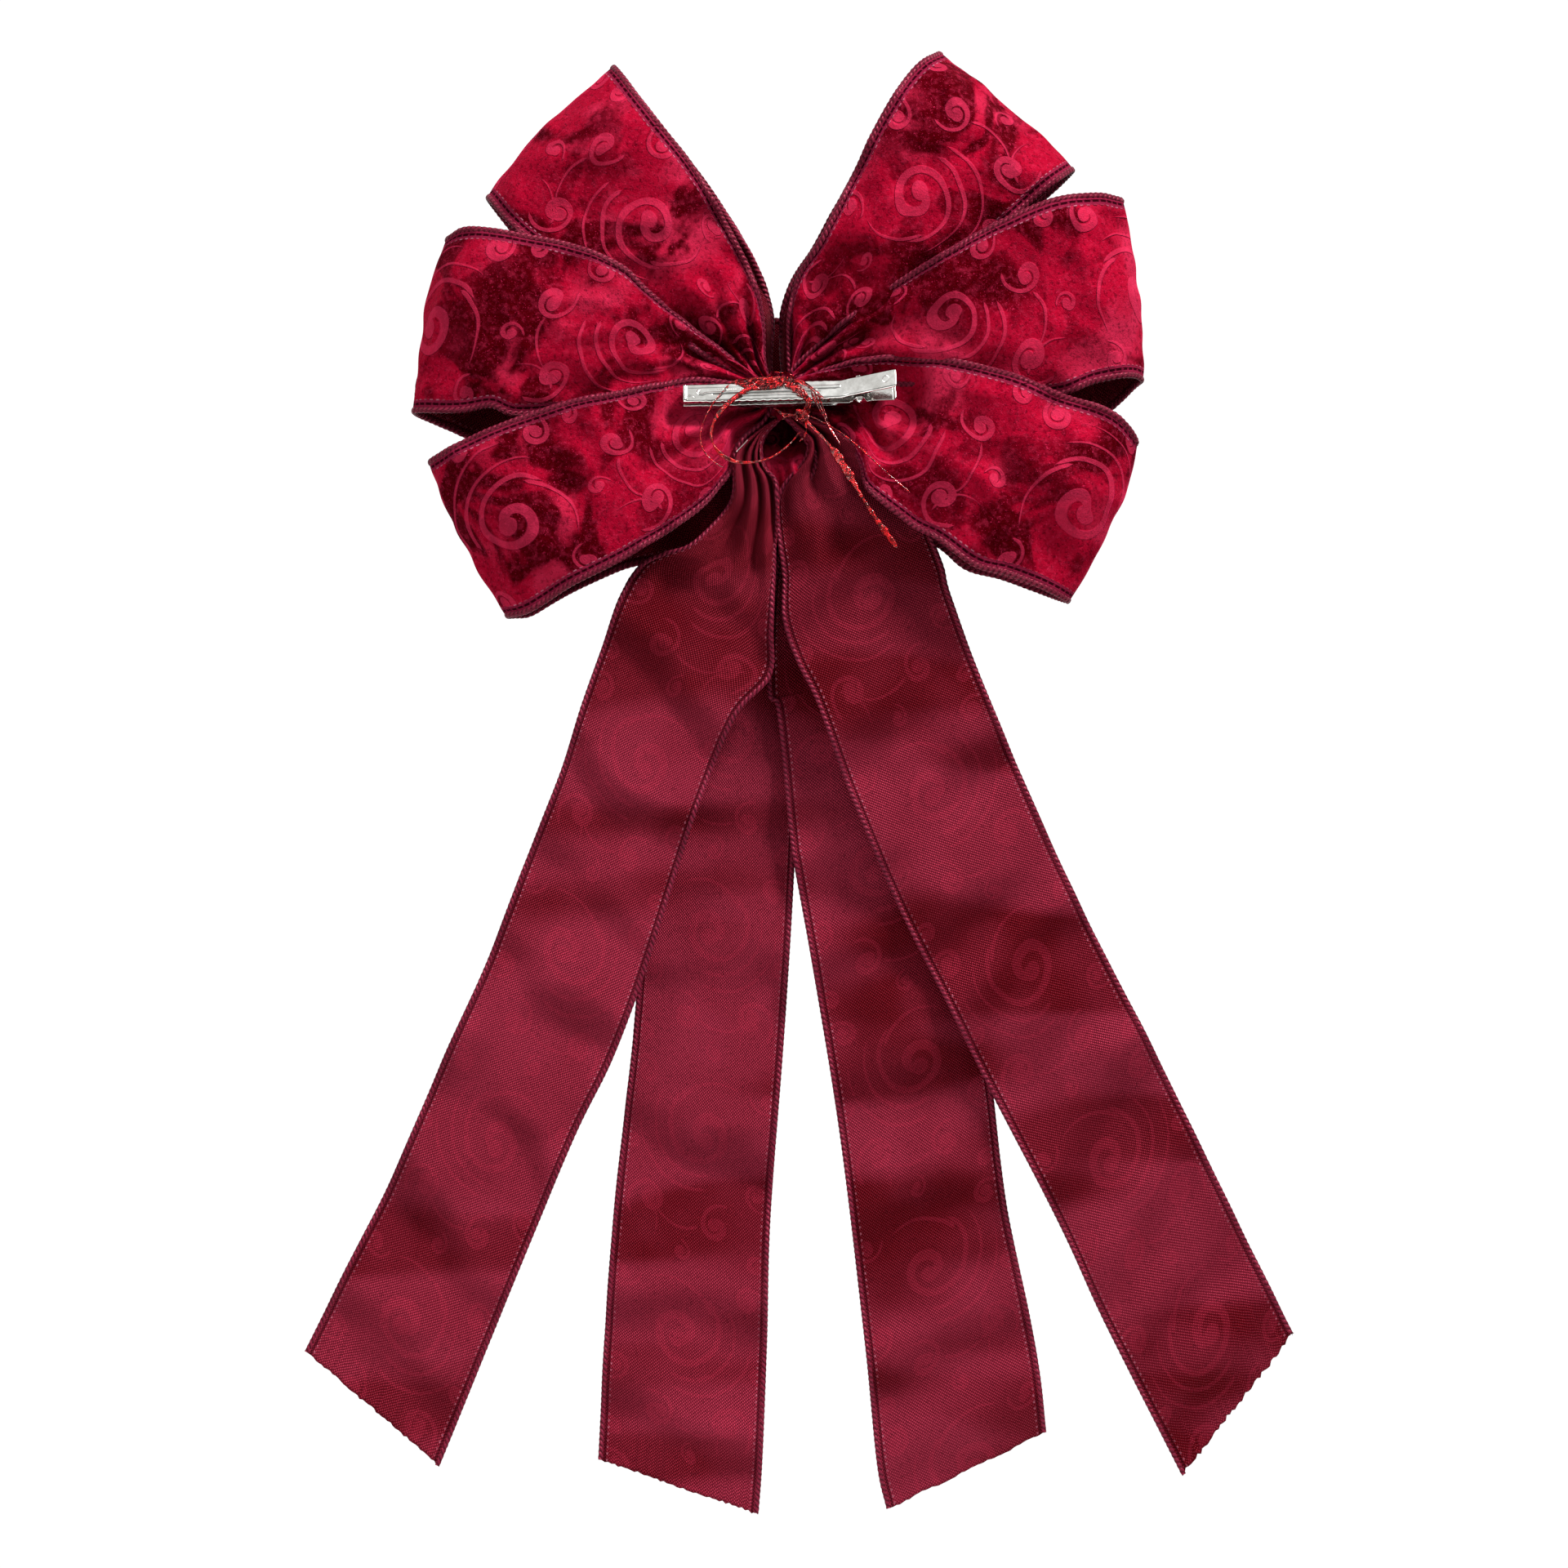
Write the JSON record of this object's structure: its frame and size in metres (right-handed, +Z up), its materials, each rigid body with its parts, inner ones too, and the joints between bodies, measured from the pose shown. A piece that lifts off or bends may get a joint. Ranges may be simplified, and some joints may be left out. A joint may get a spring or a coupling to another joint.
{
  "type": "pre-made gift bow",
  "caption": "Hand-tied velvet ribbon bow with puffed loops, long tails, a metallic string tie and a sprung metal clip on its back for fixing it to a wreath, branch or parcel",
  "frame": {"origin": "the clip's grip point: the middle of the closed jaws' meeting plane behind the centre of the bow", "axes": "+Z up as the bow hangs on its clip, +Y toward the front of the bow, so the clip is on the -Y side"},
  "size_m": [0.386, 0.0964, 0.5721],
  "materials": {
    "velvet": "crushed velvet face with an embossed scroll, plain woven reverse",
    "hem_satin": "rolled satin edge with a thin wire inside",
    "foil": "metallised film, crumpled",
    "nickel": "nickel plated pressed steel"
  },
  "bodies": {
    "bow": {"gathered_waist": "velvet", "loop_upper_left": "velvet", "loop_middle_left": "velvet", "loop_lower_left": "velvet", "loop_upper_right": "velvet", "loop_middle_right": "velvet", "loop_lower_right": "velvet", "centre_loop": "velvet", "tail_outer_left": "velvet", "tail_inner_left": "velvet", "tail_inner_right": "velvet", "tail_outer_right": "velvet", "loop_upper_left_hems": "hem_satin", "loop_middle_left_hems": "hem_satin", "loop_lower_left_hems": "hem_satin", "loop_upper_right_hems": "hem_satin", "loop_middle_right_hems": "hem_satin", "loop_lower_right_hems": "hem_satin", "centre_loop_hems": "hem_satin", "tail_outer_left_hems": "hem_satin", "tail_inner_left_hems": "hem_satin", "tail_inner_right_hems": "hem_satin", "tail_outer_right_hems": "hem_satin", "tie_band": "foil", "tie_saddle": "foil", "tie_lashing": "foil", "tie_knot": "foil", "tie_tail_foil": "foil", "tie_tail_thin": "foil", "clip_base_jaw": "nickel", "clip_pin": "nickel", "clip_spring": "nickel"},
    "clip_lever": {"clip_lever_jaw": "nickel", "tie_crossing": "foil", "tie_loop_wide": "foil", "tie_loop_thin": "foil"}
  },
  "joints": [
    {"name": "clip_open", "type": "hinge", "parent": "bow", "child": "clip_lever", "pos_m": [0.03078, -0.00036, 0.00103], "axis": [-0.0251, 0.4384, 0.8984], "range_deg": [0, 24], "stiffness_Nm_per_rad": 0.25, "springref_deg": -29.79, "deforming": ["clip_spring"]}
  ]
}
